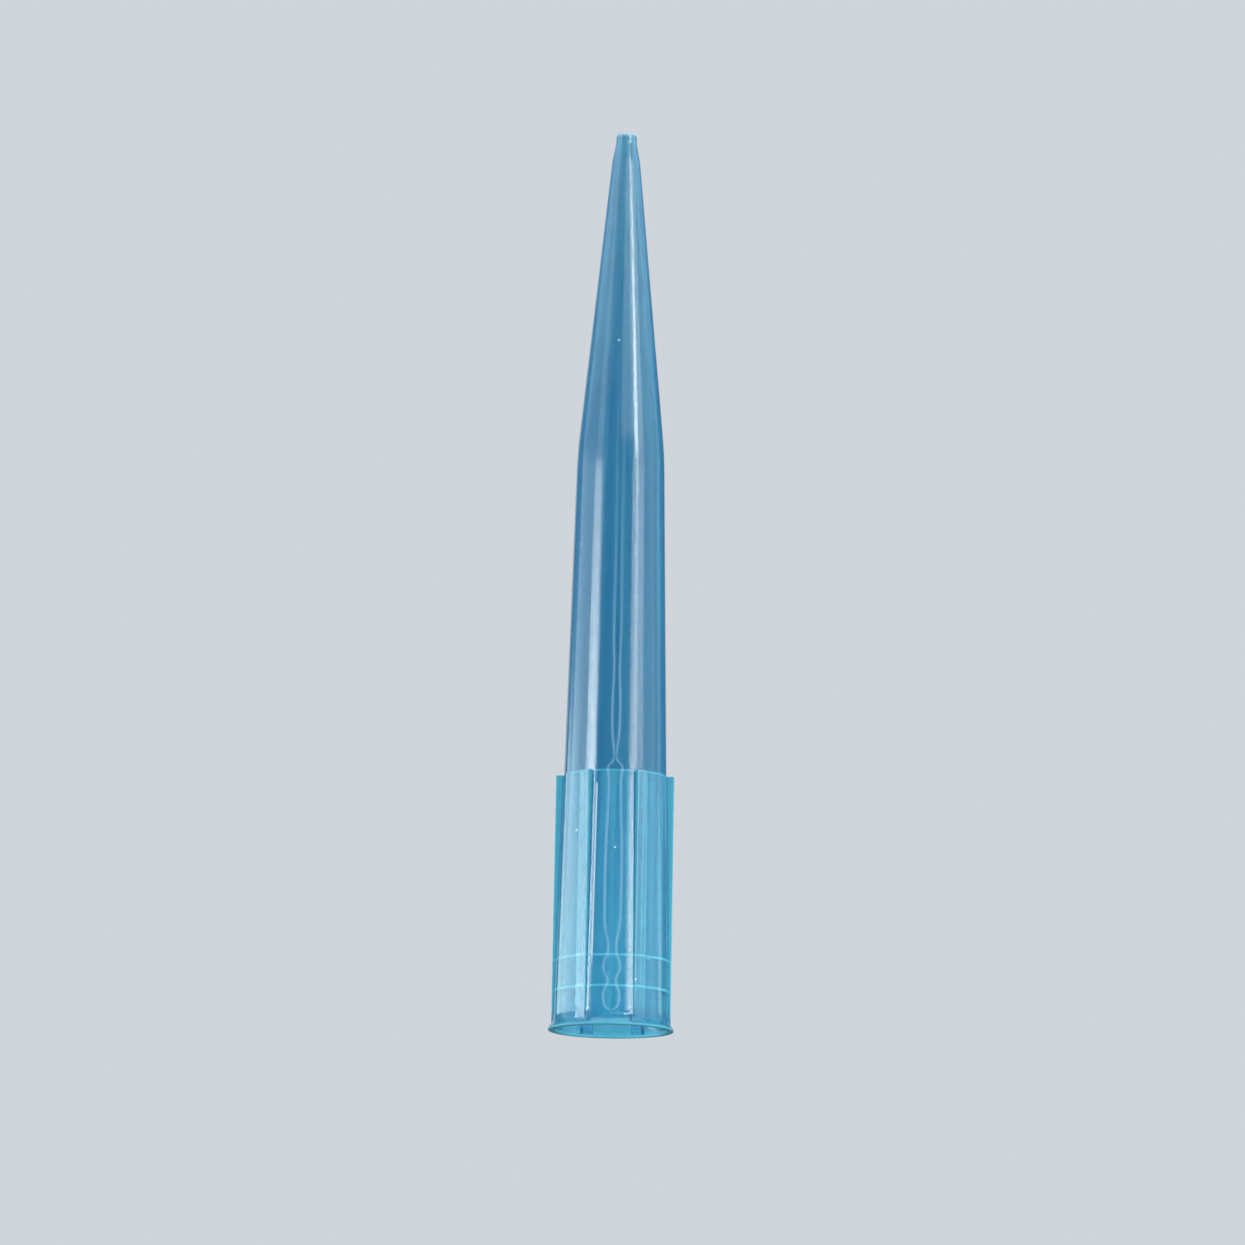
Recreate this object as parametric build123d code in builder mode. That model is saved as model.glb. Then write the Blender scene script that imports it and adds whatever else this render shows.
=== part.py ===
from build123d import *
import os
from math import atan2, cos, degrees, radians, sin, tan

os.makedirs("parts", exist_ok=True)

# Pipette tip of the 1000 microlitre size, moulded in one piece.
# Lengths are in millimetres and angles in degrees. The tip stands on its mouth: the origin
# is the centre of the mouth plane and +Z runs up the axis to the narrow end.

# Tube and cone, outside
length = 71.0               # mouth plane to end face
tube_foot_r = 4.45          # tube's outside, carried down to the mouth plane
tube_taper = 1.31           # tube's slope from the axis
knee_z = 45.45              # height where the tube turns into the cone
nose_r = 1.1                # radius where the cone turns into the nose
knee_round = 40.0           # radius of the long soft curve between tube and cone

# Narrow end, outside
nose_length = 2.3           # stretch at the end that is steeper than the cone
nose_round = 6.0            # radius of the turn from the cone into the nose
land_length = 0.8           # nearly straight land, the last part of the nose
land_taper = 1.0            # draft of the land
land_round = 1.6            # radius of the hollow where the nose meets the land
end_r = 0.8                 # outside radius at the end face, before its edge is rounded
end_round = 0.24            # radius of the end's outer edge

# Ribbed collar
collar_height = 19.92       # mouth plane to the ribs' square tops
collar_step = 0.07          # how far the collar stands out from the tube, all round
rib_count = 6
rib_width = 0.92            # at the foot, less at the top by the draft
rib_height = 0.115          # how far a rib stands out from the collar at its foot
rib_draft = 0.1             # draft of the ribs' sides and outer faces
rib_phase = -1.6            # turn of the first rib from the +X axis
rib_sink = 0.3              # how deep a rib's root is buried in the wall at the top
rib_edge = 0.06             # rounding of the ribs' outer edges

# Lip round the mouth
lip_width = 0.38            # how far the lip stands out from the collar
lip_edge_height = 0.14      # upright edge of the lip
lip_edge_round = 0.09       # rounding of that edge
flare_height = 0.75         # mouth plane to where the collar starts to flare into the lip
flare_round = 1.4           # radius of the hollow at the start of the flare

# Nozzle socket inside the collar
socket_depth = 12.1         # mouth plane to the seat, where the bore steps in
seat_step = 0.05            # how far the bore steps in there
socket_taper = 1.99         # socket's slope from the axis
lead_in_height = 1.75       # the opening's rounded lead-in ends here
lead_in_width = 0.36        # how far the lead-in opens out from the socket's wall
ring_z = [3.07, 5.47]       # heights of the sealing rings' crests
ring_height = 0.09          # how far a crest stands in from the socket's wall
ring_hollow = 0.03          # how far the hollows beside the crests dip into the wall
ring_run_out = 2.5          # length of the hollow beyond the last crest

# Volume mark on the front of the tube, a hair-fine raised bar
mark_z = 29.8               # height of its middle
mark_width = 0.12           # from its lower edge to its upper edge
mark_height = 0.02          # how far it stands out from the tube
mark_sink = 0.2             # how deep its root is buried in the wall
mark_turn = 34.0            # how far it runs round the tube
mark_side = -90.0           # its middle, turned from the +X axis

# Bore beyond the socket
wall = 0.6                  # wall of the tube, square to its slope
bore_knee_round = 40.0      # radius of the curve where the bore turns into its cone
orifice_r = 0.38            # outlet at the end face
orifice_length = 0.8        # straight stretch of the outlet


def tube_r(z):
    """Outside radius of the tube at a height."""
    return tube_foot_r - tan(radians(tube_taper)) * z


def collar_r(z):
    """Outside radius of the collar between its ribs."""
    return tube_r(z) + collar_step


def bore_r(z):
    """Inside radius of the tube."""
    return tube_r(z) - wall / cos(radians(tube_taper))


def socket_r(z):
    """Radius of the socket's wall, clear of the sealing rings."""
    return bore_r(socket_depth) + seat_step + tan(radians(socket_taper)) * (socket_depth - z)


def round_corner(outline, r, z, radius):
    """Round the corner of a section that lies at this radius and height."""
    fillet(outline.vertices().sort_by_distance((r, z, 0))[0], radius)


# Corners of the outside
lip_r = collar_r(0) + lip_width
knee_r = tube_r(knee_z)
nose_z = length - nose_length
land_z = length - land_length
land_r = end_r + tan(radians(land_taper)) * land_length

# Corners of the bore: its knee keeps the tube's wall on both sides of the outer knee
cone_taper = degrees(atan2(knee_r - nose_r, nose_z - knee_z))
bore_knee_z = knee_z - wall * sin(radians((tube_taper + cone_taper) / 2))
bore_knee_r = bore_r(bore_knee_z)
throat_z = length - orifice_length
mouth_r = socket_r(lead_in_height) + lead_in_width

# Ribs: their roots lie inside the wall all the way up
rib_root_r = collar_r(collar_height) - rib_sink
rib_depth = collar_r(lip_edge_height) + rib_height - rib_root_r

# One rib, drawn on the level of the lip's edge and drawn out upwards with the mould's draft
with BuildPart() as rib:
    with BuildSketch(Plane.XY.offset(lip_edge_height)):
        with Locations((rib_root_r + rib_depth / 2, 0)):
            Rectangle(rib_depth, rib_width)
    extrude(amount=collar_height - lip_edge_height, taper=rib_draft)
    outer_face = rib.faces().sort_by(Axis.X)[-1]
    fillet(outer_face.edges().sort_by(Axis.Z)[1:], rib_edge)

with BuildPart() as pipette_tip:
    # Outside: lip, collar, tube, cone and nose, turned as one solid
    with BuildSketch(Plane.XZ) as outside:
        with BuildLine():
            Polyline(
                (0, 0),
                (lip_r, 0),
                (lip_r, lip_edge_height),
                (collar_r(flare_height), flare_height),
                (collar_r(collar_height), collar_height),
                (tube_r(collar_height), collar_height),
                (knee_r, knee_z),
                (nose_r, nose_z),
                (land_r, land_z),
                (end_r, length),
                (0, length),
                close=True,
            )
        make_face()
        round_corner(outside, lip_r, 0, lip_edge_round)
        round_corner(outside, lip_r, lip_edge_height, lip_edge_round)
        round_corner(outside, collar_r(flare_height), flare_height, flare_round)
        round_corner(outside, knee_r, knee_z, knee_round)
        round_corner(outside, nose_r, nose_z, nose_round)
        round_corner(outside, land_r, land_z, land_round)
        round_corner(outside, end_r, length, end_round)
    revolve(axis=Axis.Z)

    # Ribs, evenly spaced round the collar and growing out of its wall
    with PolarLocations(0, rib_count, start_angle=rib_phase):
        add(rib.part)

    # Volume mark
    with BuildSketch(Plane.XZ.rotated((0, 0, mark_side - mark_turn / 2))) as mark:
        with Locations((tube_r(mark_z) + (mark_height - mark_sink) / 2, mark_z)):
            Rectangle(mark_height + mark_sink, mark_width)
    revolve(axis=Axis.Z, revolution_arc=mark_turn)

    # Bore: lead-in, sealing rings, socket, seat, tube, cone and outlet
    with BuildSketch(Plane.XZ) as bore:
        hollow_ends = [lead_in_height, *ring_z, ring_z[-1] + ring_run_out]
        crest_drop = [0, *(ring_height for _ in ring_z), 0]
        with BuildLine():
            Line((0, 0), (mouth_r, 0))
            TangentArc(
                (socket_r(lead_in_height), lead_in_height),
                (mouth_r, 0),
                tangent=(sin(radians(socket_taper)), -cos(radians(socket_taper))),
            )
            for i in range(len(ring_z) + 1):
                low, high = hollow_ends[i], hollow_ends[i + 1]
                ThreePointArc(
                    (socket_r(low) - crest_drop[i], low),
                    (socket_r((low + high) / 2) + ring_hollow, (low + high) / 2),
                    (socket_r(high) - crest_drop[i + 1], high),
                )
            Polyline(
                (socket_r(hollow_ends[-1]), hollow_ends[-1]),
                (socket_r(socket_depth), socket_depth),
                (bore_r(socket_depth), socket_depth),
                (bore_knee_r, bore_knee_z),
                (orifice_r, throat_z),
                (orifice_r, length),
                (0, length),
                (0, 0),
            )
        make_face()
        round_corner(bore, bore_knee_r, bore_knee_z, bore_knee_round)
    revolve(axis=Axis.Z, mode=Mode.SUBTRACT)

pipette_tip.part.label = "pipette_tip"
export_step(pipette_tip.part, "parts/pipette_tip.step")
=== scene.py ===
import math

import bpy
from bpy.props import (
    FloatProperty,
    FloatVectorProperty,
    IntProperty,
    PointerProperty,
)
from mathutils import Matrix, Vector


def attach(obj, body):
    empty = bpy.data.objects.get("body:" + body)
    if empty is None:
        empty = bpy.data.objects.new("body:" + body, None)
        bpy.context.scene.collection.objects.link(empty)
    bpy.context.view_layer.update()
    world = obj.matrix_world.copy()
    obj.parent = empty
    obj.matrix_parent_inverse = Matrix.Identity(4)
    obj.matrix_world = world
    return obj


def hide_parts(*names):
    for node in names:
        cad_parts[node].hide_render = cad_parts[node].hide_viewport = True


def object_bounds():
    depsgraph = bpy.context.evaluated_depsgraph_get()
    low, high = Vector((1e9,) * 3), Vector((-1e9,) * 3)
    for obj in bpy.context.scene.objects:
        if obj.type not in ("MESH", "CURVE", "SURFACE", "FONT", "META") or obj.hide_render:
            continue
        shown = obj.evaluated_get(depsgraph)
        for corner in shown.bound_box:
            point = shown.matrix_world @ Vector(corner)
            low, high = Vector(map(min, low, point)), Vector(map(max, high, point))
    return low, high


bl_info = {
    "name": "Pipette tip",
    "version": (1, 0, 0),
    "blender": (4, 5, 0),
    "location": "3D Viewport > Sidebar > Pipette tip",
    "description": "Models a moulded pipette tip and the studio that it stands in",
    "category": "Object",
}

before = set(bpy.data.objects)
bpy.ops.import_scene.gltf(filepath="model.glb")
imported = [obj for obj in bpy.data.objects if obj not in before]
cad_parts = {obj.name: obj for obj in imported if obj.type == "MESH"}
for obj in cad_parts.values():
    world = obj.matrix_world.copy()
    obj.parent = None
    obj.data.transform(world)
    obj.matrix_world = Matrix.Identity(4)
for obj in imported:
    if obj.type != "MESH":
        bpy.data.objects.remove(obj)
CAD_BOX = [list(corner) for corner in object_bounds()]
TIP_LENGTH = CAD_BOX[1][2] - CAD_BOX[0][2]
LIP_RADIUS = (CAD_BOX[1][0] - CAD_BOX[0][0]) / 2
MM = 0.001

# Points of the section that lie closer than this are one
WELD = MM / 1000
# How far a guarding point stands from a straight's end
GUARD = 0.25 * MM
# Edges that turn by more than this stay sharp
SHARP_TURN = math.radians(25)
REFRACTIVE_INDEX = 1.49
# The studio, in metres
FLOOR_RADIUS = 1.6
FLOOR_THINS_FROM, FLOOR_GONE_AT = 0.15, 0.55
LAMP_DISTANCE = 0.9
WALL_DISTANCE = 1.0


# ---------------------------------------------------------------- sizes and colours


class TipSizes(bpy.types.PropertyGroup):
    """Sizes of the tip, in metres and radians."""

    length: FloatProperty(
        name="Length", description="From the mouth plane to the end face",
        default=TIP_LENGTH, unit="LENGTH", precision=5)
    lip_radius: FloatProperty(
        name="Lip radius", description="Widest radius, at the mouth",
        default=LIP_RADIUS, unit="LENGTH", precision=5)
    lip_edge: FloatProperty(
        name="Lip edge", description="Height of the lip's upright edge",
        default=0.14 * MM, unit="LENGTH", precision=5)
    lip_round: FloatProperty(
        name="Lip rounding", description="Rounding of the lip's edge",
        default=0.09 * MM, unit="LENGTH", precision=5)
    flare_height: FloatProperty(
        name="Flare height", description="Height where the collar starts to flare into the lip",
        default=0.75 * MM, unit="LENGTH", precision=5)
    flare_round: FloatProperty(
        name="Flare rounding", description="Radius of the hollow at the start of the flare",
        default=1.4 * MM, unit="LENGTH", precision=5)
    tube_foot_radius: FloatProperty(
        name="Tube foot radius", description="The tube's outside, carried down to the mouth plane",
        default=4.45 * MM, unit="LENGTH", precision=5)
    tube_taper: FloatProperty(
        name="Tube taper", description="Slope of the tube from the axis",
        default=math.radians(1.31), subtype="ANGLE")
    knee_height: FloatProperty(
        name="Knee height", description="Height where the tube turns into the cone",
        default=45.45 * MM, unit="LENGTH", precision=5)
    knee_round: FloatProperty(
        name="Knee rounding", description="Radius of the soft curve at the knee",
        default=40.0 * MM, unit="LENGTH", precision=5)
    nose_length: FloatProperty(
        name="Nose length", description="Stretch at the end that is steeper than the cone",
        default=2.3 * MM, unit="LENGTH", precision=5)
    nose_radius: FloatProperty(
        name="Nose radius", description="Radius where the cone turns into the nose",
        default=1.1 * MM, unit="LENGTH", precision=5)
    nose_round: FloatProperty(
        name="Nose rounding", description="Radius of the turn from the cone into the nose",
        default=6.0 * MM, unit="LENGTH", precision=5)
    land_length: FloatProperty(
        name="Land length", description="Nearly straight land at the very end",
        default=0.8 * MM, unit="LENGTH", precision=5)
    land_taper: FloatProperty(
        name="Land taper", description="Draft of the land",
        default=math.radians(1.0), subtype="ANGLE")
    land_round: FloatProperty(
        name="Land rounding", description="Radius of the hollow where the nose meets the land",
        default=1.6 * MM, unit="LENGTH", precision=5)
    end_radius: FloatProperty(
        name="End radius", description="Outside radius at the end face",
        default=0.8 * MM, unit="LENGTH", precision=5)
    end_round: FloatProperty(
        name="End rounding", description="Rounding of the end's outer edge",
        default=0.24 * MM, unit="LENGTH", precision=5)
    collar_height: FloatProperty(
        name="Collar height", description="From the mouth plane to the ribs' square tops",
        default=19.92 * MM, unit="LENGTH", precision=5)
    collar_step: FloatProperty(
        name="Collar step", description="How far the collar stands out from the tube",
        default=0.07 * MM, unit="LENGTH", precision=5)
    lead_in_height: FloatProperty(
        name="Lead-in height", description="Height of the opening's rounded lead-in",
        default=1.75 * MM, unit="LENGTH", precision=5)
    lead_in_width: FloatProperty(
        name="Lead-in width", description="How far the lead-in opens out from the socket's wall",
        default=0.36 * MM, unit="LENGTH", precision=5)
    socket_taper: FloatProperty(
        name="Socket taper", description="Slope of the socket from the axis",
        default=math.radians(1.99), subtype="ANGLE")
    socket_depth: FloatProperty(
        name="Socket depth", description="From the mouth plane to the seat",
        default=12.1 * MM, unit="LENGTH", precision=5)
    seat_step: FloatProperty(
        name="Seat step", description="How far the bore steps in at the seat",
        default=0.05 * MM, unit="LENGTH", precision=6)
    ring_low: FloatProperty(
        name="Lower ring", description="Height of the lower sealing ring's crest",
        default=3.07 * MM, unit="LENGTH", precision=5)
    ring_high: FloatProperty(
        name="Upper ring", description="Height of the upper sealing ring's crest",
        default=5.47 * MM, unit="LENGTH", precision=5)
    ring_height: FloatProperty(
        name="Ring height", description="How far a ring's crest stands in from the socket's wall",
        default=0.09 * MM, unit="LENGTH", precision=6)
    ring_hollow: FloatProperty(
        name="Ring hollow", description="How far the hollows beside the crests dip into the wall",
        default=0.03 * MM, unit="LENGTH", precision=6)
    ring_run_out: FloatProperty(
        name="Ring run-out", description="Length of the hollow beyond the upper ring",
        default=2.5 * MM, unit="LENGTH", precision=5)
    wall: FloatProperty(
        name="Wall", description="Thickness of the tube's wall",
        default=0.6 * MM, unit="LENGTH", precision=5)
    bore_knee_round: FloatProperty(
        name="Bore knee rounding", description="Radius of the curve where the bore turns into its cone",
        default=40.0 * MM, unit="LENGTH", precision=5)
    orifice_radius: FloatProperty(
        name="Outlet radius", description="Radius of the outlet",
        default=0.38 * MM, unit="LENGTH", precision=5)
    orifice_length: FloatProperty(
        name="Outlet length", description="Straight stretch of the outlet",
        default=0.8 * MM, unit="LENGTH", precision=5)
    sides: IntProperty(
        name="Sides", description="Facets round the tip", default=192, min=48, max=384)


class RibSizes(bpy.types.PropertyGroup):
    """Sizes of the collar's ribs, in metres and radians."""

    count: IntProperty(name="Count", description="Ribs round the collar", default=6)
    width: FloatProperty(
        name="Width", description="Width of a rib at its foot",
        default=0.92 * MM, unit="LENGTH", precision=5)
    height: FloatProperty(
        name="Height", description="How far a rib stands out from the collar at its foot",
        default=0.115 * MM, unit="LENGTH", precision=6)
    draft: FloatProperty(
        name="Draft", description="Draft of the ribs' sides and outer faces",
        default=math.radians(0.1), subtype="ANGLE")
    phase: FloatProperty(
        name="Phase", description="Turn of the first rib from the X axis",
        default=math.radians(-1.6), subtype="ANGLE")
    sink: FloatProperty(
        name="Sink", description="How deep a rib's root is buried in the wall at the collar's top",
        default=0.3 * MM, unit="LENGTH", precision=5)
    edge: FloatProperty(
        name="Edge", description="Rounding of the ribs' outer edges",
        default=0.06 * MM, unit="LENGTH", precision=5)


class MarkSizes(bpy.types.PropertyGroup):
    """Sizes of the volume mark, in metres and radians."""

    place: FloatProperty(
        name="Place", description="Height of the mark's middle",
        default=29.8 * MM, unit="LENGTH", precision=5)
    width: FloatProperty(
        name="Width", description="From the mark's lower edge to its upper edge",
        default=0.12 * MM, unit="LENGTH", precision=6)
    height: FloatProperty(
        name="Height", description="How far the mark stands out from the tube",
        default=0.02 * MM, unit="LENGTH", precision=6)
    sink: FloatProperty(
        name="Sink", description="How deep the mark's root is buried in the wall",
        default=0.2 * MM, unit="LENGTH", precision=6)
    turn: FloatProperty(
        name="Turn", description="How far the mark runs round the tube",
        default=math.radians(34), subtype="ANGLE")
    side: FloatProperty(
        name="Side", description="The mark's middle, turned from the X axis",
        default=math.radians(-90), subtype="ANGLE")


class PlasticLook(bpy.types.PropertyGroup):
    """Colours and finish of the blue polypropylene, and of the painted highlight and reflection lines on it.
    """

    body: FloatVectorProperty(
        name="Body", description="Tint of the surface", subtype="COLOR", size=3,
        min=0, max=1, default=(0.14, 0.52, 0.70))
    pale: FloatVectorProperty(
        name="Pale", description="Tint of the cloudier streaks", subtype="COLOR", size=3,
        min=0, max=1, default=(0.15, 0.61, 0.75))
    nose: FloatVectorProperty(
        name="Nose", description="Tint of the milkier nose", subtype="COLOR", size=3,
        min=0, max=1, default=(0.32, 0.68, 0.79))
    milk: FloatVectorProperty(
        name="Milk", description="Colour of the milky ribs, lip and lines", subtype="COLOR", size=3,
        min=0, max=1, default=(0.18, 0.78, 0.94))
    # Colour of the painted highlights on the ribs' sides and corners and on the level lines at the rings,
    # seat, collar's top and rim
    crest: FloatVectorProperty(
        name="Crest", description="Colour of the sealing rings' crests", subtype="COLOR", size=3,
        min=0, max=1, default=(0.16, 0.80, 0.92))
    # Colour of a painted reflection: the lamps mirrored in the inner wall, drawn as a pair of lines up the
    # front
    flow: FloatVectorProperty(
        name="Flow lines", description="Colour of the thin lines that the melt left up the front",
        subtype="COLOR", size=3, min=0, max=1, default=(0.60, 0.72, 1.0))
    # Colour of the specks, and also of the painted highlight line and the painted highlight on the end's rim
    speck_and_glint: FloatVectorProperty(
        name="Specks", description="Colour of the few fine specks in the plastic",
        subtype="COLOR", size=3, min=0, max=1, default=(0.85, 0.95, 1.0))
    # Share that the painted reflection lines, the painted highlight line and rim, and the specks scatter
    painted_line_and_speck_haze: FloatProperty(
        name="Flow line haze", description="Share of the light that the flow lines scatter",
        default=0.6, min=0, max=1)
    depth_colour: FloatVectorProperty(
        name="Depth colour", description="Blue that light takes on its way through the plastic",
        subtype="COLOR", size=3, min=0, max=1, default=(0.05, 0.36, 0.85))
    depth: FloatProperty(
        name="Depth", description="How fast that blue deepens, for each metre", default=680)
    haze: FloatProperty(
        name="Haze", description="Share of the light that the clear wall scatters",
        default=0.15, min=0, max=1)
    collar_haze: FloatProperty(
        name="Collar haze", description="Share of the light that the collar's wall scatters",
        default=0.22, min=0, max=1)
    rib_haze: FloatProperty(
        name="Rib haze", description="Share of the light that the ribs and the lip scatter",
        default=0.32, min=0, max=1)
    # Share of the painted highlights on the ribs' sides and corners and on the level lines
    painted_highlight_haze: FloatProperty(
        name="Line haze",
        description="Share of the light that the ribs' corners and the sealing rings scatter",
        default=0.62, min=0, max=1)
    roughness: FloatProperty(
        name="Roughness", description="Roughness of the moulded surface",
        default=0.13, min=0, max=1)


class StudioLook(bpy.types.PropertyGroup):
    """The floor, the backdrop, the lamps and the camera."""

    floor: FloatVectorProperty(
        name="Floor", description="Colour of the floor", subtype="COLOR", size=3,
        min=0, max=1, default=(0.65, 0.65, 0.66))
    backdrop: FloatVectorProperty(
        name="Backdrop", description="Colour that shows behind the tip", subtype="COLOR", size=3,
        min=0, max=1, default=(0.62, 0.66, 0.70))
    room_light: FloatProperty(
        name="Room light", description="Strength of the light from all round", default=0.2)
    window_light: FloatProperty(
        name="Window light", description="Radiance of the wide soft box on the left", default=3.0)
    strip_light: FloatProperty(
        name="Strip light", description="Radiance of the tall narrow soft boxes", default=8.0)
    camera_drop: FloatProperty(
        name="Camera drop", description="How far below level the camera looks from",
        default=math.radians(9.1), subtype="ANGLE")
    camera_roll: FloatProperty(
        name="Camera roll", description="Lean of the picture", default=math.radians(1.0), subtype="ANGLE")
    camera_distance: FloatProperty(
        name="Camera distance", description="From the camera to the tip's middle",
        default=0.7828, unit="LENGTH")


# ---------------------------------------------------------------- small helpers


def settings():
    """The scene's property groups."""
    scene = bpy.context.scene
    return scene.tip_sizes, scene.rib_sizes, scene.mark_sizes, scene.plastic_look, scene.studio_look


def deselect():
    """Leave nothing selected, in object mode."""
    if bpy.context.object and bpy.context.object.mode != "OBJECT":
        bpy.ops.object.mode_set(mode="OBJECT")
    bpy.ops.object.select_all(action="DESELECT")


def activate(obj):
    """Select one object alone and make it the active one."""
    deselect()
    obj.select_set(True)
    bpy.context.view_layer.objects.active = obj


def tube_radius(tip, z):
    """Outside radius of the tube at a height."""
    return tip.tube_foot_radius - math.tan(tip.tube_taper) * z


def collar_radius(tip, z):
    """Outside radius of the collar between its ribs."""
    return tube_radius(tip, z) + tip.collar_step


def bore_radius(tip, z):
    """Inside radius of the tube."""
    return tube_radius(tip, z) - tip.wall / math.cos(tip.tube_taper)


def socket_radius(tip, z):
    """Radius of the socket's wall, clear of the sealing rings."""
    seat = bore_radius(tip, tip.socket_depth) + tip.seat_step
    return seat + math.tan(tip.socket_taper) * (tip.socket_depth - z)


def mouth_radius(tip):
    """Radius of the opening at the mouth plane."""
    return socket_radius(tip, tip.lead_in_height) + tip.lead_in_width


def arc(centre, first, last, steps):
    """Points of the shorter arc about a centre, from one point of the section to another."""
    (cx, cz), radius = centre, math.dist(centre, first)
    start = math.atan2(first[1] - cz, first[0] - cx)
    turn = math.atan2(last[1] - cz, last[0] - cx) - start
    turn = (turn + math.pi) % (2 * math.pi) - math.pi
    return [
        (cx + radius * math.cos(start + turn * i / steps), cz + radius * math.sin(start + turn * i / steps))
        for i in range(steps + 1)
    ]


def rounded_corner(before, corner, after, radius, steps):
    """Points of the arc that rounds a corner of the section, from one side to the other."""
    to_before = math.atan2(before[1] - corner[1], before[0] - corner[0])
    to_after = math.atan2(after[1] - corner[1], after[0] - corner[0])
    half = ((to_after - to_before + math.pi) % (2 * math.pi) - math.pi) / 2

    def from_corner(angle, run):
        return corner[0] + math.cos(angle) * run, corner[1] + math.sin(angle) * run

    centre = from_corner(to_before + half, radius / math.sin(abs(half)))
    reach = radius / math.tan(abs(half))
    return arc(centre, from_corner(to_before, reach), from_corner(to_after, reach), steps)


def arc_through(first, middle, last, steps=8):
    """Points of the arc through three points of the section, without the first one."""
    (x1, z1), (x2, z2), (x3, z3) = first, middle, last
    divisor = 2 * (x1 * (z2 - z3) + x2 * (z3 - z1) + x3 * (z1 - z2))
    s1, s2, s3 = x1 * x1 + z1 * z1, x2 * x2 + z2 * z2, x3 * x3 + z3 * z3
    cx = (s1 * (z2 - z3) + s2 * (z3 - z1) + s3 * (z1 - z2)) / divisor
    cz = (s1 * (x3 - x2) + s2 * (x1 - x3) + s3 * (x2 - x1)) / divisor
    return arc((cx, cz), first, last, steps)[1:]


def guarded(points):
    """Add a point close to each end of every long straight, so that its shading stays flat."""
    result = [points[0]]
    for first, last in zip(points, points[1:]):
        run = math.dist(first, last)
        if run > 4 * GUARD:
            for share in (GUARD / run, 1 - GUARD / run):
                result.append(tuple(a + (b - a) * share for a, b in zip(first, last)))
        result.append(last)
    return result


# ---------------------------------------------------------------- the tip's section


def outside_section(tip):
    """The outline from the mouth's flat rim, up the outside, to the end face."""
    nose_z, land_z = tip.length - tip.nose_length, tip.length - tip.land_length
    land_r = tip.end_radius + math.tan(tip.land_taper) * tip.land_length
    knee_r = tube_radius(tip, tip.knee_height)
    # Each corner, its rounding and the steps of that arc
    return round_all([
        ((mouth_radius(tip), 0), 0, 0),
        ((tip.lip_radius, 0), tip.lip_round, 5),
        ((tip.lip_radius, tip.lip_edge), tip.lip_round, 4),
        ((collar_radius(tip, tip.flare_height), tip.flare_height), tip.flare_round, 6),
        ((collar_radius(tip, tip.collar_height), tip.collar_height), 0, 0),
        ((tube_radius(tip, tip.collar_height), tip.collar_height), 0, 0),
        ((knee_r, tip.knee_height), tip.knee_round, 10),
        ((tip.nose_radius, nose_z), tip.nose_round, 4),
        ((land_r, land_z), tip.land_round, 4),
        ((tip.end_radius, tip.length), tip.end_round, 8),
        ((tip.orifice_radius, tip.length), 0, 0),
    ])


def round_all(corners):
    """The points of a run of corners, those with a rounding drawn as arcs."""
    points = []
    for i, (corner, radius, steps) in enumerate(corners):
        if radius:
            points += rounded_corner(corners[i - 1][0], corner, corners[i + 1][0], radius, steps)
        else:
            points.append(corner)
    return points


def bore_section(tip):
    """The outline from the end face, down the bore, to the mouth's flat rim."""
    nose_z = tip.length - tip.nose_length
    cone_taper = math.atan2(tube_radius(tip, tip.knee_height) - tip.nose_radius, nose_z - tip.knee_height)
    knee_z = tip.knee_height - tip.wall * math.sin((tip.tube_taper + cone_taper) / 2)
    rings_end = tip.ring_high + tip.ring_run_out
    cone = round_all([
        ((tip.orifice_radius, tip.length), 0, 0),
        ((tip.orifice_radius, tip.length - tip.orifice_length), tip.orifice_radius, 4),
        ((bore_radius(tip, knee_z), knee_z), tip.bore_knee_round, 10),
        ((bore_radius(tip, tip.socket_depth), tip.socket_depth), 0, 0),
        ((socket_radius(tip, tip.socket_depth), tip.socket_depth), 0, 0),
        ((socket_radius(tip, rings_end), rings_end), 0, 0),
    ])
    # The sealing rings are three hollows that meet in two crests, from the top down
    heights = [rings_end, tip.ring_high, tip.ring_low, tip.lead_in_height]
    crests = [0, tip.ring_height, tip.ring_height, 0]
    rings = [cone[-1]]
    for i in range(3):
        high, low = heights[i], heights[i + 1]
        middle = (high + low) / 2
        rings += arc_through(
            (socket_radius(tip, high) - crests[i], high),
            (socket_radius(tip, middle) + tip.ring_hollow, middle),
            (socket_radius(tip, low) - crests[i + 1], low),
        )
    # The lead-in is an arc that leaves the socket along its wall
    foot = rings[-1]
    mouth_r = mouth_radius(tip)
    out = mouth_r - foot[0]
    half = math.atan2(out, foot[1])
    chord = math.hypot(out, foot[1])
    bulge = chord / 2 * math.tan((half - tip.socket_taper) / 2)
    middle = (
        (foot[0] + mouth_r) / 2 - bulge * math.cos(half),
        foot[1] / 2 - bulge * math.sin(half),
    )
    lead_in = arc_through(foot, middle, (mouth_r, 0))
    return cone + rings[1:] + lead_in[:-1]


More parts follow.
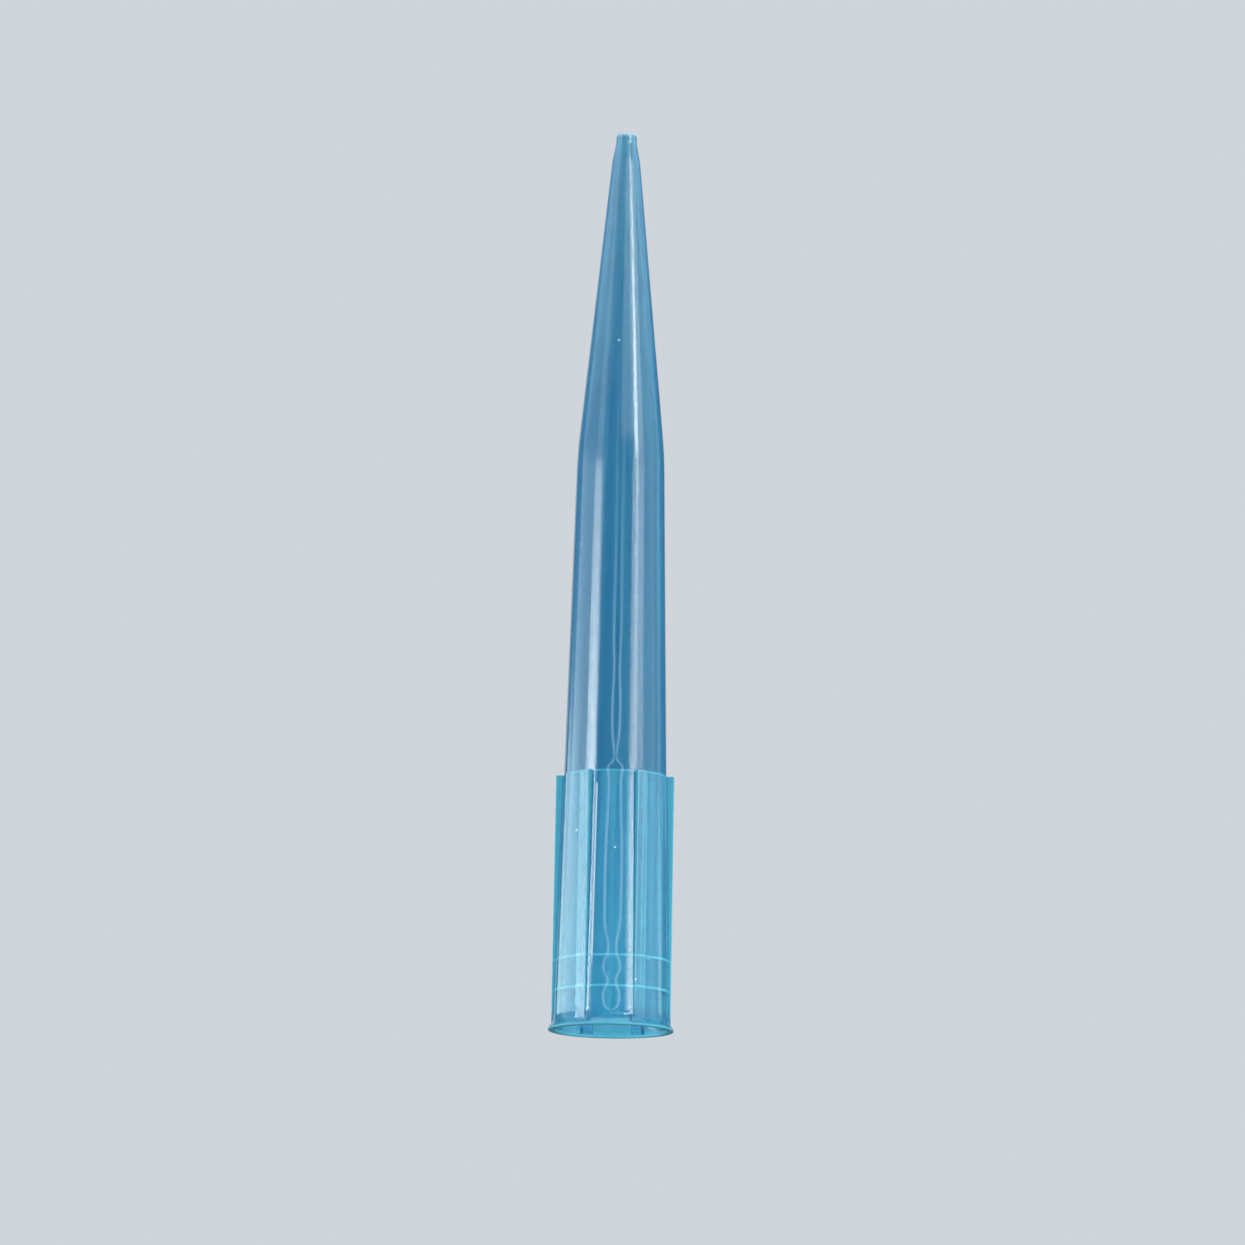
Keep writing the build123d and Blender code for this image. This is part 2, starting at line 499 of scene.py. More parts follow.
def lathe(name, section, sides, turn=2 * math.pi):
    """Turn a closed section about the Z axis: a point is drawn out along it, then spun."""
    deselect()
    bpy.ops.mesh.primitive_plane_add(size=MM, location=(0, 0, 0))
    piece = bpy.context.object
    piece.name = piece.data.name = name
    bpy.ops.object.mode_set(mode="EDIT")
    bpy.ops.mesh.select_mode(type="VERT")
    bpy.ops.mesh.merge(type="CENTER")
    bpy.ops.transform.translate(value=(section[0][0], 0, section[0][1]))
    for here, there in zip(section, section[1:] + section[:1]):
        step = (there[0] - here[0], 0, there[1] - here[1])
        bpy.ops.mesh.extrude_vertices_move(TRANSFORM_OT_translate={"value": step})
    bpy.ops.mesh.select_all(action="SELECT")
    bpy.ops.mesh.remove_doubles(threshold=WELD)
    bpy.ops.mesh.spin(steps=sides, angle=turn, center=(0, 0, 0), axis=(0, 0, 1))
    bpy.ops.mesh.select_all(action="SELECT")
    bpy.ops.mesh.remove_doubles(threshold=WELD)
    bpy.ops.mesh.normals_make_consistent(inside=False)
    bpy.ops.object.mode_set(mode="OBJECT")
    return piece


def model_rib(tip, rib):
    """One rib: a block from the lip's edge to the collar's top, drafted, with its edges rounded."""
    height = tip.collar_height - tip.lip_edge
    # The root is upright where the wall leans, so low down it stands out of the bore's side
    root = collar_radius(tip, tip.collar_height) - rib.sink
    depth = collar_radius(tip, tip.lip_edge) + rib.height - root
    shrink = math.tan(rib.draft) * height
    middle_x, middle_z = root + depth / 2, tip.lip_edge + height / 2
    deselect()
    bpy.ops.mesh.primitive_cube_add(
        size=1, location=(middle_x, 0, middle_z), scale=(depth, rib.width, height))
    piece = bpy.context.object
    piece.name = piece.data.name = "rib"
    bpy.ops.object.transform_apply(location=True, rotation=True, scale=True)
    bpy.ops.object.mode_set(mode="EDIT")
    bpy.ops.mesh.select_mode(type="FACE")
    # The top is drawn in by the draft, towards the root
    select_faces(piece, lambda face: face.normal.z > 0.5)
    bpy.ops.transform.resize(
        value=((depth - shrink) / depth, (rib.width - 2 * shrink) / rib.width, 1),
        center_override=(root, 0, tip.collar_height))
    bpy.ops.mesh.select_mode(type="EDGE")
    select_edges(piece, lambda a, b: min(a.x, b.x) > middle_x and max(a.z, b.z) > middle_z)
    bpy.ops.mesh.bevel(offset=rib.edge, segments=3, affect="EDGES")
    bpy.ops.object.mode_set(mode="OBJECT")
    return piece


def model_mark(tip, mark):
    """The volume mark: a small square section turned part of the way round the tube."""
    wall = tube_radius(tip, mark.place)
    deep, out = wall - mark.sink, wall + mark.height
    low, high = mark.place - mark.width / 2, mark.place + mark.width / 2
    outline = [(deep, low), (out, low), (out, high), (deep, high)]
    piece = lathe("mark", outline, sides=24, turn=mark.turn)
    bpy.ops.object.mode_set(mode="EDIT")
    bpy.ops.mesh.select_all(action="SELECT")
    bpy.ops.mesh.fill_holes(sides=4)
    bpy.ops.mesh.normals_make_consistent(inside=False)
    bpy.ops.object.mode_set(mode="OBJECT")
    piece.rotation_euler[2] = mark.side - mark.turn / 2
    return piece


def join_to(body, part):
    """Join a closed mesh to the body, so that one closed skin is left."""
    activate(part)
    bpy.ops.object.transform_apply(location=True, rotation=True, scale=True)
    activate(body)
    bpy.ops.object.modifier_add(type="BOOLEAN")
    joint = body.modifiers[-1]
    joint.operation, joint.solver, joint.object = "UNION", "EXACT", part
    bpy.ops.object.modifier_apply(modifier=joint.name)
    bpy.data.objects.remove(part)


def select_faces(piece, wanted):
    """Select the faces of the piece in edit mode that a test wants."""
    bpy.ops.mesh.select_all(action="DESELECT")
    bpy.ops.object.mode_set(mode="OBJECT")
    for face in piece.data.polygons:
        face.select = wanted(face)
    bpy.ops.object.mode_set(mode="EDIT")


def select_edges(piece, wanted):
    """Select the edges of the piece in edit mode whose two ends a test wants."""
    bpy.ops.mesh.select_all(action="DESELECT")
    bpy.ops.object.mode_set(mode="OBJECT")
    points = piece.data.vertices
    for edge in piece.data.edges:
        a, b = edge.vertices
        edge.select = wanted(points[a].co, points[b].co)
    bpy.ops.object.mode_set(mode="EDIT")


# ---------------------------------------------------------------- materials


def new_material(name):
    """A node material, its tree and its output node."""
    material = bpy.data.materials.new(name)
    material.use_nodes = True
    nodes = material.node_tree.nodes
    nodes.clear()
    output = nodes.new("ShaderNodeOutputMaterial")
    return material, material.node_tree, output


def plastic_material(look, tip, rib):
    """Blue polypropylene: its blue deepens with the way through it, and thick places are milky."""
    material, tree, output = new_material("blue_polypropylene")
    nodes, links = tree.nodes, tree.links
    place = nodes.new("ShaderNodeTexCoord").outputs["Object"]
    where = tip_regions(tree, tip, rib, place)
    # Cloudiness drawn out along the flow of the melt, up the tip
    cloud = stretched_noise(tree, place, (900, 900, 45), 3.0)
    milk = milk_share(tree, look, place, cloud, where)
    clear = math_node(tree, "SUBTRACT", 1.0, milk)

    # Slight waviness of the moulded surface
    bump = nodes.new("ShaderNodeBump")
    bump.inputs["Strength"].default_value = 0.02
    bump.inputs["Distance"].default_value = 0.2 * MM
    links.new(stretched_noise(tree, place, (350, 350, 45), 2.0), bump.inputs["Height"])

    shader = nodes.new("ShaderNodeBsdfPrincipled")
    shader.inputs["Roughness"].default_value = look.roughness
    shader.inputs["IOR"].default_value = REFRACTIVE_INDEX
    links.new(clear, shader.inputs["Transmission Weight"])
    links.new(surface_tint(tree, look, cloud, where), shader.inputs["Base Color"])
    links.new(bump.outputs["Normal"], shader.inputs["Normal"])
    links.new(shader.outputs["BSDF"], output.inputs["Surface"])

    depth = nodes.new("ShaderNodeVolumeAbsorption")
    depth.inputs["Color"].default_value = (*look.depth_colour, 1)
    depth.inputs["Density"].default_value = look.depth
    links.new(depth.outputs["Volume"], output.inputs["Volume"])
    return material


def tip_regions(tree, tip, rib, place):
    """How far a place belongs to each region of the tip and to each line drawn on it, from 0 to 1."""
    x, y, z, radius, angle = round_the_axis(tree, place)
    in_lip = ramp(tree, z, tip.flare_height + MM, tip.flare_height)
    in_rib, rib_edge = rib_regions(tree, tip, rib, z, radius, angle, in_lip)
    # The painted reflection lines and the painted highlight line are on the front only
    front = ramp(tree, y, -0.5 * MM, -0.6 * MM)
    flow = math_node(tree, "MULTIPLY", painted_reflection_pair(tree, tip, x, z), front)
    painted_glint = math_node(tree, "MULTIPLY", painted_glint_line(tree, tip, x, z), front)
    # Brightest are the specks, the painted highlight line and the painted highlight on the end's rim
    specks_and_painted_glints = math_node(tree, "MAXIMUM", speck_dots(tree, place), painted_glint)
    # Painted highlight: a bright rim round the end
    painted_end_highlight = ramp(tree, z, tip.length - 0.35 * MM, tip.length - 0.1 * MM, top=0.7)
    return {
        "collar": ramp(tree, z, tip.collar_height + 0.1 * MM, tip.collar_height),
        "rib": in_rib,
        "rib_edge": rib_edge,
        "lip": in_lip,
        "nose": ramp(tree, z, tip.knee_height, tip.length - 4 * MM),
        "rings": painted_ring_highlights(tree, tip, z),
        "flow": flow,
        "specks_and_painted_glints": math_node(tree, "MAXIMUM", specks_and_painted_glints, painted_end_highlight),
    }


def rib_regions(tree, tip, rib, z, radius, angle, in_lip):
    """How far a place lies in a rib, and how strongly it belongs to the painted highlights on a rib's sides
    and corners.
    """
    foot = tip.tube_foot_radius + tip.collar_step
    wall = math_node(tree, "MULTIPLY_ADD", z, -math.tan(tip.tube_taper), foot)
    in_rib = ramp(tree, math_node(tree, "SUBTRACT", radius, wall), 0.02 * MM, 0.10 * MM)
    crown = math_node(tree, "MULTIPLY_ADD", z, -math.tan(rib.draft), foot + rib.height)
    at_crown = ramp(tree, math_node(tree, "SUBTRACT", radius, crown), -0.12 * MM, -0.07 * MM)
    across, half_width = rib_offset(tree, rib, radius, angle), rib.width / 2
    at_side = ramp(tree, across, half_width - 0.10 * MM, half_width - 0.05 * MM)
    # Painted highlights: a rib's sides are made milky and its corners more so, down to the lip, for the
    # bright lines that they catch
    painted_side_highlight, painted_corner_highlight = 0.3, 0.15
    edge = math_node(tree, "MULTIPLY", in_rib, painted_side_highlight)
    edge = math_node(tree, "MULTIPLY_ADD", at_crown, painted_corner_highlight, edge)
    edge = math_node(tree, "MULTIPLY", edge, at_side)
    return in_rib, math_node(tree, "MULTIPLY", edge, math_node(tree, "SUBTRACT", 1.0, in_lip))


def milk_share(tree, look, place, cloud, where):
    """Share of the light that the plastic scatters: little in the wall, more where the melt was thick, and
    most on the painted highlight and reflection lines.
    """
    extra_in_nose = 0.4 * look.haze
    milk = math_node(tree, "MULTIPLY_ADD", where["nose"], extra_in_nose, look.haze)
    for region, haze in (("collar", look.collar_haze), ("rib", look.rib_haze), ("lip", look.haze)):
        milk = blend(tree, where[region], milk, haze)
    # Fine grain and long strands make it uneven: the strands are stronger in the collar, and
    # what they add there is taken off again, so that the collar is no milkier for them
    grain = stretched_noise(tree, place, (1600, 1600, 900), 2.0)
    strands = stretched_noise(tree, place, (2600, 2600, 16), 2.0)
    strand_strength = math_node(tree, "MULTIPLY_ADD", where["collar"], 0.8, 1.2)
    strands = math_node(tree, "MULTIPLY", strands, strand_strength)
    clouds = math_node(tree, "MULTIPLY_ADD", cloud, 0.6, -0.15)
    uneven = math_node(tree, "ADD", math_node(tree, "MULTIPLY_ADD", grain, 0.5, clouds), strands)
    uneven = math_node(tree, "MULTIPLY_ADD", where["collar"], -0.4, uneven)
    milk = math_node(tree, "MULTIPLY", milk, uneven)
    # Painted highlights: the ribs' sides and corners, and the level lines at the rings, seat, collar's top
    # and rim
    lines = math_node(tree, "MAXIMUM", where["rib_edge"], where["rings"])
    milk = blend(tree, lines, milk, look.painted_highlight_haze)
    # The painted reflection pair, and the specks with the painted highlight line and rim
    for line in ("flow", "specks_and_painted_glints"):
        milk = blend(tree, where[line], milk, look.painted_line_and_speck_haze)
    return milk


def surface_tint(tree, look, cloud, where):
    """Colour of the surface: paler in the cloudy streaks, the nose and the collar, and on the specks and the
    painted highlight and reflection lines.
    """
    tint = colour_mix(tree, cloud, look.body, look.pale)
    region_share = 0.6
    for region, colour in (("nose", look.nose), ("collar", look.milk)):
        share = math_node(tree, "MULTIPLY", where[region], region_share)
        tint = colour_mix(tree, share, tint, colour)
    # Painted highlights on the rib sides and corners and the level lines, the painted reflection pair, and
    # the specks with painted highlights
    for line, colour in (
        ("rib_edge", look.crest), ("rings", look.crest), ("flow", look.flow), ("specks_and_painted_glints", look.speck_and_glint),
    ):
        tint = colour_mix(tree, where[line], tint, colour)
    return tint


def round_the_axis(tree, place):
    """X, Y and Z of a place, its distance from the Z axis and its angle round it."""
    apart = tree.nodes.new("ShaderNodeSeparateXYZ")
    tree.links.new(place, apart.inputs["Vector"])
    x, y, z = (apart.outputs[name] for name in "XYZ")
    square = math_node(tree, "MULTIPLY_ADD", x, x, math_node(tree, "MULTIPLY", y, y))
    return x, y, z, math_node(tree, "SQRT", square), math_node(tree, "ARCTAN2", y, x)


def rib_offset(tree, rib, radius, angle):
    """How far a place lies from the middle plane of the nearest rib."""
    pitch = 2 * math.pi / rib.count
    turned = math_node(tree, "ADD", angle, pitch / 2 - rib.phase)
    nearest = math_node(tree, "SUBTRACT", math_node(tree, "FLOORED_MODULO", turned, pitch), pitch / 2)
    offset = math_node(tree, "MULTIPLY", radius, math_node(tree, "SINE", nearest))
    return math_node(tree, "ABSOLUTE", offset)


def painted_ring_highlights(tree, tip, z):
    """Painted highlights: bright level lines at the sealing crests, the seat, the collar's top and the rim,
    standing in for the light that these catch.
    """
    lines = 0.0
    for height, half, strength in (
        (tip.ring_low, 0.12 * MM, 0.6),
        (tip.ring_high, 0.12 * MM, 0.6),
        (tip.socket_depth, 0.06 * MM, 0.1),
        (tip.collar_height, 0.08 * MM, 0.5),
        (0.0, 0.26 * MM, 0.55),
    ):
        away = math_node(tree, "ABSOLUTE", math_node(tree, "SUBTRACT", z, height))
        lines = math_node(tree, "MAXIMUM", lines, ramp(tree, away, half, half / 2, strength))
    return lines


def painted_reflection_pair(tree, tip, x, z):
    """A painted reflection of the lamps in the inner wall: a pair of thin lines up the front, which waves
    between the sealing rings and fades above.
    """
    # Heights, and half the gap between the lines there, in millimetres
    gaps = [
        (0.0, 0.0), (0.8, 0.0), (1.2, 0.20), (2.3, 0.64), (3.4, 0.32), (4.5, 0.64), (5.9, 0.32),
        (7.0, 0.44), (8.6, 0.60), (12.0, 0.62), (17.0, 0.50), (19.0, 0.46), (20.16, 0.56),
        (20.76, 0.10), (22.5, 0.24), (25.0, 0.30), (28.0, 0.22), (31.0, 0.28), (36.0, 0.24),
        (45.0, 0.26), (62.0, 0.14), (71.0, 0.10),
    ]
    curve_node = tree.nodes.new("ShaderNodeFloatCurve")
    curve = curve_node.mapping.curves[0]
    while len(curve.points) < len(gaps):
        curve.points.new(0, 0)
    for point, (height, half_gap) in zip(curve.points, gaps):
        point.location = (height * MM / tip.length, half_gap)
    curve_node.mapping.update()
    tree.links.new(math_node(tree, "DIVIDE", z, tip.length), curve_node.inputs["Value"])
    half = math_node(tree, "MULTIPLY", curve_node.outputs["Value"], MM)
    away = math_node(tree, "SUBTRACT", math_node(tree, "ABSOLUTE", x), half)
    pair = ramp(tree, math_node(tree, "ABSOLUTE", away), 0.16 * MM, 0.05 * MM, top=0.4)
    # None where the two would meet, and less and less from 26 mm up
    pair = math_node(tree, "MULTIPLY", pair, ramp(tree, half, 0.05 * MM, 0.12 * MM))
    return math_node(tree, "MULTIPLY", pair, ramp(tree, z, 56 * MM, 26 * MM))


def painted_glint_line(tree, tip, x, z):
    """A painted highlight: a crisp pale line beside the pair, from the upper ring to just below the collar's
    top.
    """
    foot_x, lean = -1.62 * MM, 0.012
    top = tip.collar_height - 0.92 * MM
    line_x = math_node(tree, "MULTIPLY_ADD", z, lean, foot_x)
    away = math_node(tree, "ABSOLUTE", math_node(tree, "SUBTRACT", x, line_x))
    painted_glint = ramp(tree, away, 0.09 * MM, 0.03 * MM)
    painted_glint = math_node(tree, "MULTIPLY", painted_glint, ramp(tree, z, 4 * MM, 6 * MM))
    return math_node(tree, "MULTIPLY", painted_glint, ramp(tree, z, top, top - 0.2 * MM))


def speck_dots(tree, place):
    """A few fine specks, where a scattered point happens to lie close to the surface."""
    cells_per_metre = 380
    cells = tree.nodes.new("ShaderNodeTexVoronoi")
    cells.inputs["Scale"].default_value = cells_per_metre
    tree.links.new(place, cells.inputs["Vector"])
    # The specks' radii are shares of a cell
    return ramp(tree, cells.outputs["Distance"], 0.040, 0.022)


def feed(tree, value, socket):
    """Link a socket to another, or set it to a value."""
    if isinstance(value, bpy.types.NodeSocket):
        tree.links.new(value, socket)
    else:
        socket.default_value = value


def ramp(tree, value, start, end, top=1.0):
    """0 at start and top at end, straight between them and level outside."""
    node = tree.nodes.new("ShaderNodeMapRange")
    node.inputs["From Min"].default_value = start
    node.inputs["From Max"].default_value = end
    node.inputs["To Max"].default_value = top
    tree.links.new(value, node.inputs["Value"])
    return node.outputs["Result"]


def blend(tree, share, low, high):
    """A number between two others, which may be sockets."""
    node = tree.nodes.new("ShaderNodeMix")
    for name, value in (("Factor", share), ("A", low), ("B", high)):
        feed(tree, value, node.inputs[name])
    return node.outputs["Result"]


def colour_mix(tree, share, low, high):
    """A colour between two others, which may be sockets."""
    node = tree.nodes.new("ShaderNodeMix")
    node.data_type = "RGBA"
    tree.links.new(share, node.inputs["Factor"])
    for name, colour in (("A", low), ("B", high)):
        is_socket = isinstance(colour, bpy.types.NodeSocket)
        feed(tree, colour if is_socket else (*colour, 1), node.inputs[name])
    return node.outputs["Result"]


def stretched_noise(tree, place, scale, detail):
    """Noise whose scale, in waves for each metre, differs along X, Y and Z."""
    stretch = tree.nodes.new("ShaderNodeMapping")
    stretch.inputs["Scale"].default_value = scale
    noise = tree.nodes.new("ShaderNodeTexNoise")
    noise.inputs["Scale"].default_value = 1.0
    noise.inputs["Detail"].default_value = detail
    tree.links.new(place, stretch.inputs["Vector"])
    tree.links.new(stretch.outputs["Vector"], noise.inputs["Vector"])
    return noise.outputs["Fac"]


def math_node(tree, operation, *values):
    """A Math node on sockets and numbers, and its output socket."""
    node = tree.nodes.new("ShaderNodeMath")
    node.operation = operation
    for socket, value in zip(node.inputs, values):
        feed(tree, value, socket)
    return node.outputs["Value"]


def floor_material(look):
    """A matt pale floor, seen from above only, that thins out to the backdrop far away."""
    material, tree, output = new_material("pale_floor")
    nodes, links = tree.nodes, tree.links
    place = nodes.new("ShaderNodeTexCoord").outputs["Object"]
    grain = stretched_noise(tree, place, (900, 900, 900), 2.0)
    matt = nodes.new("ShaderNodeBsdfDiffuse")
    tone = colour_mix(tree, grain, look.floor, [channel * 0.97 for channel in look.floor])
    links.new(tone, matt.inputs["Color"])

    distance = nodes.new("ShaderNodeVectorMath")
    distance.operation = "LENGTH"
    links.new(place, distance.inputs[0])
    away = distance.outputs["Value"]
    far = ramp(tree, away, FLOOR_THINS_FROM, FLOOR_GONE_AT)
    below = nodes.new("ShaderNodeNewGeometry").outputs["Backfacing"]
    # Open under the tip, so that its mouth isn't dark
    under = ramp(tree, away, LIP_RADIUS, LIP_RADIUS - 0.05 * MM)
    unseen = math_node(tree, "MAXIMUM", math_node(tree, "MAXIMUM", far, below), under)
    clear = nodes.new("ShaderNodeBsdfTransparent")
    mixed = nodes.new("ShaderNodeMixShader")
    links.new(unseen, mixed.inputs["Fac"])
    links.new(matt.outputs["BSDF"], mixed.inputs[1])
    links.new(clear.outputs["BSDF"], mixed.inputs[2])
    links.new(mixed.outputs["Shader"], output.inputs["Surface"])
    return material


# ---------------------------------------------------------------- operators


class OBJECT_OT_pipette_tip(bpy.types.Operator):
    """Model the tip: one turned body with the collar's ribs and the volume mark joined to it"""

    bl_idname = "object.pipette_tip"
    bl_label = "Pipette tip"

    def execute(self, context):
        tip, rib, mark, look, _ = settings()
        section = guarded(outside_section(tip) + bore_section(tip)[1:])
        body = lathe("pipette_tip_moulding", section, tip.sides)
        pattern = model_rib(tip, rib)
        for i in range(rib.count):
            copy = pattern.copy()
            copy.data = pattern.data.copy()
            context.collection.objects.link(copy)
            copy.rotation_euler[2] = rib.phase + 2 * math.pi * i / rib.count
            join_to(body, copy)
        bpy.data.objects.remove(pattern)
        join_to(body, model_mark(tip, mark))
        activate(body)
        bpy.ops.object.shade_smooth_by_angle(angle=SHARP_TURN)
        # The large faces set the shading of the small ones beside them
        bpy.ops.object.modifier_add(type="WEIGHTED_NORMAL")
        body.modifiers[-1].keep_sharp = True
        bpy.ops.object.modifier_apply(modifier=body.modifiers[-1].name)
        body.data.materials.clear()
        body.data.materials.append(plastic_material(look, tip, rib))
        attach(body, "root")
        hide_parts("pipette_tip")
        deselect()
        return {"FINISHED"}


class OBJECT_OT_tip_stage(bpy.types.Operator):
    """Set the floor, the backdrop, the lamps and the camera"""

    bl_idname = "object.tip_stage"
    bl_label = "Stage"

    def execute(self, context):
        look = settings()[-1]
        make_floor(look)
        make_world(look)
        make_lamps(look)
        make_camera(look)
        return {"FINISHED"}


def make_floor(look):
    """The pale floor that the tip stands on."""
    deselect()
    bpy.ops.mesh.primitive_circle_add(
        vertices=96, radius=FLOOR_RADIUS, fill_type="NGON", location=(0, 0, 0))
    floor = bpy.context.object
    floor.name = floor.data.name = "floor"
    floor.data.materials.append(floor_material(look))


def make_world(look):
    """Even light from all round, behind which the camera sees the pale backdrop."""
    world = bpy.data.worlds.new("studio")
    bpy.context.scene.world = world
    world.use_nodes = True
    tree = world.node_tree
    nodes, links = tree.nodes, tree.links
    nodes.clear()
    output = nodes.new("ShaderNodeOutputWorld")
    path = nodes.new("ShaderNodeLightPath")
    seen = math_node(tree, "MAXIMUM", path.outputs["Is Camera Ray"], path.outputs["Is Glossy Ray"])
    seen = math_node(tree, "MAXIMUM", seen, path.outputs["Is Transmission Ray"])
    mixed = nodes.new("ShaderNodeMixShader")
    links.new(seen, mixed.inputs["Fac"])
    room_colour = (0.95, 0.98, 1.0)
    for slot, colour, strength in ((1, room_colour, look.room_light), (2, look.backdrop, 1)):
        background = nodes.new("ShaderNodeBackground")
        background.inputs["Color"].default_value = (*colour, 1)
        background.inputs["Strength"].default_value = strength
        links.new(background.outputs["Background"], mixed.inputs[slot])
    links.new(mixed.outputs["Shader"], output.inputs["Surface"])


def beside_tip(azimuth, distance, height):
    """A place at a distance from the axis and a height above the tip's middle; azimuth 0 is the front."""
    return math.sin(azimuth) * distance, -math.cos(azimuth) * distance, TIP_LENGTH / 2 + height


def soft_box(name, azimuth, width, low, high, radiance, tint):
    """A soft box that faces the tip, its width and its two elevations in degrees."""
    azimuth, width, low, high = (math.radians(angle) for angle in (azimuth, width, low, high))
    middle = (low + high) / 2
    deselect()
    bpy.ops.object.light_add(type="AREA")
    lamp = bpy.context.object
    lamp.name = lamp.data.name = name
    lamp.data.shape = "RECTANGLE"
    lamp.data.size = 2 * LAMP_DISTANCE * math.tan(width / 2)
    lamp.data.size_y = 2 * LAMP_DISTANCE * math.tan((high - low) / 2)
    lamp.data.energy = radiance * math.pi * lamp.data.size * lamp.data.size_y
    lamp.data.color = tint
    lamp.visible_camera = lamp.visible_transmission = False
    lamp.location = beside_tip(azimuth, math.cos(middle) * LAMP_DISTANCE, math.sin(middle) * LAMP_DISTANCE)
    lamp.rotation_euler = (math.pi / 2 - middle, 0, azimuth)
    return lamp


def dark_wall(name, azimuth, width, low, high, colour):
    """An unlit part of the room, which shows in reflections only; its angles are in degrees."""
    azimuth, width, low, high = (math.radians(angle) for angle in (azimuth, width, low, high))
    foot, top = WALL_DISTANCE * math.tan(low), WALL_DISTANCE * math.tan(high)
    deselect()
    bpy.ops.mesh.primitive_plane_add(
        size=2, location=beside_tip(azimuth, WALL_DISTANCE, (foot + top) / 2),
        rotation=(math.pi / 2, 0, azimuth))
    wall = bpy.context.object
    wall.name = wall.data.name = name
    wall.scale = (WALL_DISTANCE * math.tan(width / 2), (top - foot) / 2, 1)
    bpy.ops.object.transform_apply(location=True, rotation=True, scale=True)
    material, tree, output = new_material(name)
    glow = tree.nodes.new("ShaderNodeEmission")
    glow.inputs["Color"].default_value = (*colour, 1)
    glow.inputs["Strength"].default_value = 1
    tree.links.new(glow.outputs["Emission"], output.inputs["Surface"])
    wall.data.materials.append(material)
    wall.visible_camera = wall.visible_diffuse = wall.visible_transmission = wall.visible_shadow = False


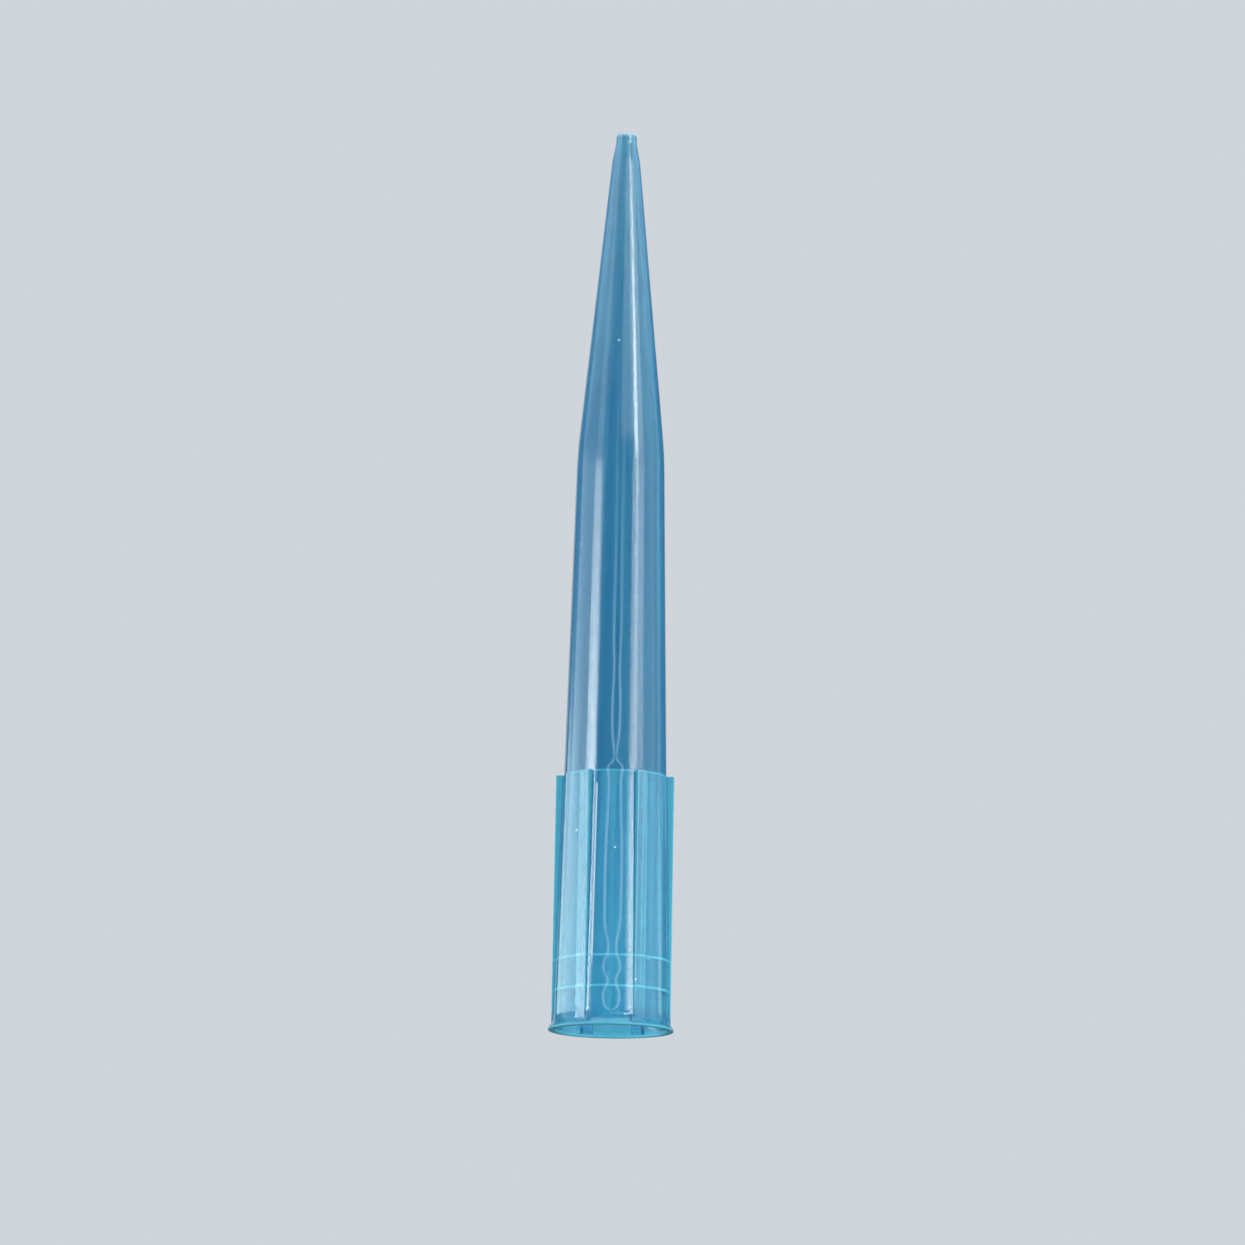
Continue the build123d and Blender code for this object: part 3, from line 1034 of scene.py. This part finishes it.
def make_lamps(look):
    """Wide windows at the sides and tall strips that draw the long streaks."""
    white, mint, cool, cyan = (1.0, 1.0, 1.0), (0.95, 1.0, 0.96), (0.92, 0.98, 1.0), (0.80, 1.0, 0.95)
    window, strip = look.window_light, look.strip_light
    soft_box("window_left", -78, 66, -16, 2, window, cool)
    soft_box("window_left_high", -94, 56, 14, 40, 0.13 * window, cool)
    soft_box("window_left_end", -52, 28, 14, 40, 0.14 * window, cool)
    soft_box("window_right", 95, 60, -14, 40, 0.25 * window, cyan)
    soft_box("overhead", 0, 50, 66, 114, 0.55 * window, white)
    # Seen in the collar only
    soft_box("collar_left", -62, 38, 2, 9.8, 1.3 * window, cyan)
    soft_box("collar_far_left", -99, 36, 2, 9.3, 1.5 * window, cyan)
    soft_box("collar_edge_left", -128, 22, 2, 8.9, 1.0 * window, cyan)
    soft_box("collar_streak", -53, 14, 2, 9.8, 0.9 * strip, mint)
    soft_box("collar_foot_streak", -61, 12, 2, 5.6, 0.7 * strip, mint)
    soft_box("collar_right", 39, 22, 2, 9.4, 0.6 * strip, mint)
    soft_box("collar_right_core", 38, 10, 2, 9.4, 0.7 * strip, mint)
    soft_box("collar_far_right", 58, 24, 2, 8.8, 0.21 * strip, cyan)
    soft_box("collar_edge_right", 114, 12, 2, 8.2, 0.6 * window, cyan)
    # Seen in the tube only
    soft_box("tube_window", -62, 38, 9.8, 14, 0.5 * window, cool)
    soft_box("tube_far_window", -99, 36, 9.3, 14, 0.45 * window, cool)
    soft_box("tube_left", -57, 25, 8.8, 10.2, 1.75 * strip, mint)
    soft_box("tube_left_high", -59, 22, 10.2, 12, 1.0 * strip, mint)
    soft_box("tube_left_top", -60, 20, 12, 14, 0.55 * strip, mint)
    soft_box("tube_right", 48, 32, 8.8, 14, 0.6 * strip, mint)
    soft_box("tube_right_core", 45, 8, 8.8, 14, 0.6 * strip, mint)
    # Seen in the cone only
    soft_box("cone_left", -60, 16, 15, 30, 0.12 * strip, mint)
    soft_box("cone_front", 18, 36, 20, 34, 0.22 * strip, mint)
    soft_box("cone_right", 52, 22, 15, 30, 0.45 * strip, mint)
    soft_box("cone_right_core", 42, 10, 15, 24, 1.8 * strip, mint)
    soft_box("nose_right_core", 34, 12, 24, 34, 1.4 * strip, mint)
    # They light the edges and the cloudiness in the plastic, and show in no reflection
    for name, azimuth, width, low, high, radiance in (
        ("rim_left", -148, 26, -2, 12, 0.35), ("rim_right", 148, 26, -2, 12, 0.25),
        ("fill_left", -105, 50, -12, 40, 0.6), ("fill_right", 105, 50, -12, 40, 1.1),
        ("fill_mouth", 0, 50, -75, -45, 2.0),
    ):
        soft_box(name, azimuth, width, low, high, radiance * window, cool).visible_glossy = False
    dark, deep_blue = (0.05, 0.06, 0.08), (0.004, 0.05, 0.13)
    dark_wall("dark_front", 0, 100, -40, 60, dark)
    dark_wall("dark_right", 130, 60, -40, 60, deep_blue)
    dark_wall("dark_left", -135, 30, -40, 60, dark)
    dark_wall("dark_back", 180, 60, -40, 0, dark)


def make_camera(look):
    """A long lens that looks up at the tip from just below its mouth."""
    deselect()
    bpy.ops.object.camera_add()
    camera = bpy.context.object
    camera.name = camera.data.name = "camera"
    drop, roll, distance = look.camera_drop, look.camera_roll, look.camera_distance
    # The view's middle lies a little to the right of the tip's middle and below it
    right, below, half_view = 2.51 * MM, 3.38 * MM, math.radians(3.55)
    camera.location = (right, -math.cos(drop) * distance, TIP_LENGTH / 2 - below - math.sin(drop) * distance)
    camera.rotation_euler = (math.pi / 2 + drop, -roll, 0)
    camera.data.sensor_width = 36
    camera.data.lens = camera.data.sensor_width / 2 / math.tan(half_view)
    camera.data.clip_start, camera.data.clip_end = 0.05, 10
    bpy.context.scene.camera = camera
    view = bpy.context.scene.view_settings
    view.view_transform = "Standard"


class VIEW3D_PT_pipette_tip(bpy.types.Panel):
    """The tip's sizes and colours, and the buttons that make it."""

    bl_label = "Pipette tip"
    bl_space_type = "VIEW_3D"
    bl_region_type = "UI"
    bl_category = "Pipette tip"

    def draw(self, context):
        column = self.layout.column()
        for group in settings():
            column.label(text=group.__doc__)
            for name in group.__annotations__:
                column.prop(group, name)
        column.operator(OBJECT_OT_pipette_tip.bl_idname)
        column.operator(OBJECT_OT_tip_stage.bl_idname)


GROUPS = {
    "tip_sizes": TipSizes,
    "rib_sizes": RibSizes,
    "mark_sizes": MarkSizes,
    "plastic_look": PlasticLook,
    "studio_look": StudioLook,
}
CLASSES = [*GROUPS.values(), OBJECT_OT_pipette_tip, OBJECT_OT_tip_stage, VIEW3D_PT_pipette_tip]


def register():
    for cls in CLASSES:
        bpy.utils.register_class(cls)
    for name, group in GROUPS.items():
        setattr(bpy.types.Scene, name, PointerProperty(type=group))


def unregister():
    for name in GROUPS:
        delattr(bpy.types.Scene, name)
    for cls in reversed(CLASSES):
        bpy.utils.unregister_class(cls)


def main():
    register()
    bpy.ops.object.pipette_tip()
    bpy.ops.object.tip_stage()


if __name__ == "__main__":
    main()
